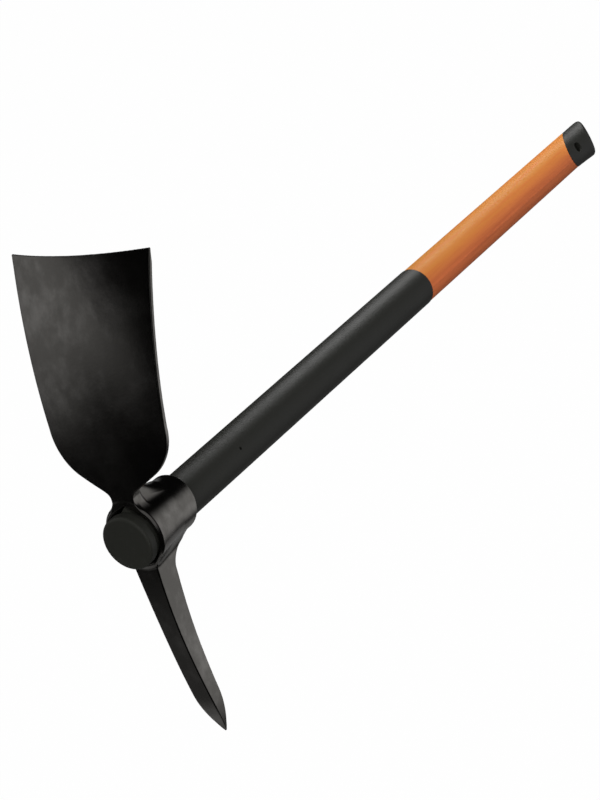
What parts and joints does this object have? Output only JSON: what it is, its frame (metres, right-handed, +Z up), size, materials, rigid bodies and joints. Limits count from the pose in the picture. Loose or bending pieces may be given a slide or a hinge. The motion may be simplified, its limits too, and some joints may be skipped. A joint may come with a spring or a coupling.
{
  "type": "hoe mattock",
  "caption": "Hoe mattock with a wide dished steel blade opposite a square pick, on a round wooden handle with a black polymer sleeve and a butt cap with a hang hole.",
  "frame": {"origin": "on the handle axis at the middle of the grip, between the two hands", "axes": "+Y along the handle from head to butt, +Z up the blade, +X across the blade"},
  "size_m": [0.145, 0.9053, 0.456],
  "materials": {
    "forged_steel": "satin black coated forging",
    "stained_wood": "orange stain under clear satin lacquer",
    "black_polymer": "satin moulded polymer",
    "pin_steel": "blackened steel"
  },
  "bodies": {
    "root": {"head": "forged_steel", "core": "stained_wood", "sleeve": "black_polymer", "nose_cap": "black_polymer", "sleeve_pin": "pin_steel", "butt_cap": "black_polymer"}
  },
  "joints": []
}
